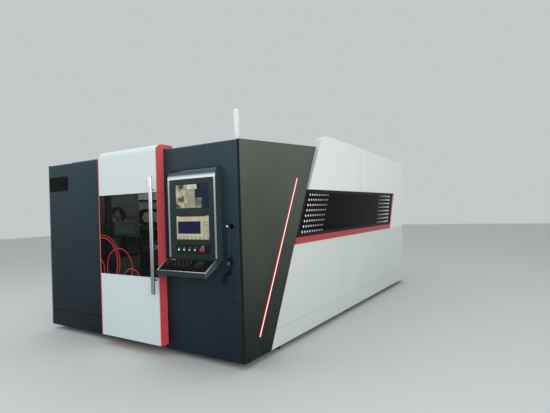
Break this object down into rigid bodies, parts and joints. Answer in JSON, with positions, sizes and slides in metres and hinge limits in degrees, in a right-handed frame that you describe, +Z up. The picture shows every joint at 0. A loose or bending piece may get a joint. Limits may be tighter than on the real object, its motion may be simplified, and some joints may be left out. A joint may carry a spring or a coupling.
{
  "type": "fiber laser cutting machine",
  "caption": "Enclosed fiber laser cutting machine with a sliding front door, operator console, side windows, a gantry with its cutting head and a slatted pallet inside.",
  "frame": {"origin": "middle of the machine's footprint, on the floor", "axes": "+Z up, -Y the front with the sliding door and the operator console, +X the operator's right"},
  "size_m": [3.5588, 5.885, 2.6618],
  "materials": {
    "bed_grey": "satin machine enamel",
    "steel": "ground steel",
    "gantry_white": "satin enamel",
    "black_plastic": "matte moulded",
    "slate": "fine-texture powder coat",
    "white": "satin powder coat",
    "red": "satin powder coat",
    "tinted_pane": "dark tinted safety pane",
    "light_strip": "diffuser of a light strip",
    "brushed": "brushed",
    "console": "smooth lacquer",
    "screen": "screen glass",
    "green_cap": "lit cap",
    "pale_cap": "frosted cap",
    "collar_grey": "matte moulded",
    "stop_red": "moulded",
    "chrome": "polished",
    "frosted": "frosted diffuser"
  },
  "bodies": {
    "machine": {"base_frame": "bed_grey", "foot_left_front": "steel", "foot_left_middle": "steel", "foot_left_rear": "steel", "foot_right_front": "steel", "foot_right_middle": "steel", "foot_right_rear": "steel", "machine_bed": "bed_grey", "gantry_rail_left": "steel", "gantry_rail_right": "steel", "left_cabinet": "slate", "console_cabinet": "slate", "front_roof": "slate", "name_plate": "black_plastic", "left_wedge_plate": "slate", "right_wedge_plate": "slate", "left_lower_panel": "white", "right_lower_panel": "white", "left_sill_band": "red", "right_sill_band": "red", "left_window": "tinted_pane", "right_window": "tinted_pane", "left_upper_panel": "white", "right_upper_panel": "white", "rear_wall": "white", "main_roof": "white", "light_bar": "light_strip", "door_rail": "steel", "console_housing": "console", "console_trim": "brushed", "upper_monitor": "screen", "lower_monitor": "screen", "button_plate": "black_plastic", "stop_collar": "collar_grey", "keyboard_tray": "console", "keyboard": "black_plastic", "pendant_hook": "chrome", "handset": "black_plastic", "lanyard": "collar_grey", "curly_cord": "black_plastic", "cord_plug": "black_plastic", "thin_cord": "black_plastic", "beacon_base": "frosted", "beacon_lens": "frosted"},
    "front_door": {"door_frame": "red", "door_upper_skin": "white", "door_lower_skin": "white", "door_window": "tinted_pane", "door_handle": "brushed"},
    "gantry": {"gantry_beam": "gantry_white"},
    "carriage": {"carriage": "bed_grey"},
    "head": {"cutting_head": "gantry_white"},
    "chain": {"cable_chain": "black_plastic"},
    "pallet": {"slatted_pallet": "steel"},
    "button_1": {"push_button_1": "green_cap"},
    "button_2": {"push_button_2": "green_cap"},
    "button_3": {"push_button_3": "pale_cap"},
    "button_4": {"push_button_4": "pale_cap"},
    "emergency_stop": {"stop_button": "stop_red"}
  },
  "joints": [
    {"name": "door_slide", "type": "slide", "parent": "machine", "child": "front_door", "axis": [-1, 0, 0], "range_m": [0, 0.85]},
    {"name": "gantry_travel", "type": "slide", "parent": "machine", "child": "gantry", "axis": [0, 1, 0], "range_m": [0, 3.2]},
    {"name": "carriage_travel", "type": "slide", "parent": "gantry", "child": "carriage", "axis": [1, 0, 0], "range_m": [-0.7, 0.7]},
    {"name": "chain_travel", "type": "slide", "parent": "gantry", "child": "chain", "axis": [1, 0, 0], "range_m": [-0.35, 0.35]},
    {"name": "head_travel", "type": "slide", "parent": "carriage", "child": "head", "axis": [0, 0, -1], "range_m": [0, 0.12]},
    {"name": "pallet_travel", "type": "slide", "parent": "machine", "child": "pallet", "axis": [0, 1, 0], "range_m": [0, 1.4]},
    {"name": "button_1_push", "type": "slide", "parent": "machine", "child": "button_1", "axis": [0, 1, 0], "range_m": [0, 0.003], "stiffness_N_per_m": 400},
    {"name": "button_2_push", "type": "slide", "parent": "machine", "child": "button_2", "axis": [0, 1, 0], "range_m": [0, 0.003], "stiffness_N_per_m": 400},
    {"name": "button_3_push", "type": "slide", "parent": "machine", "child": "button_3", "axis": [0, 1, 0], "range_m": [0, 0.003], "stiffness_N_per_m": 400},
    {"name": "button_4_push", "type": "slide", "parent": "machine", "child": "button_4", "axis": [0, 1, 0], "range_m": [0, 0.003], "stiffness_N_per_m": 400},
    {"name": "stop_push", "type": "slide", "parent": "machine", "child": "emergency_stop", "axis": [0, 1, 0], "range_m": [0, 0.005]}
  ],
  "couplings": [
    {"joint": "chain_travel", "follows": "carriage_travel", "ratio": 0.5}
  ]
}
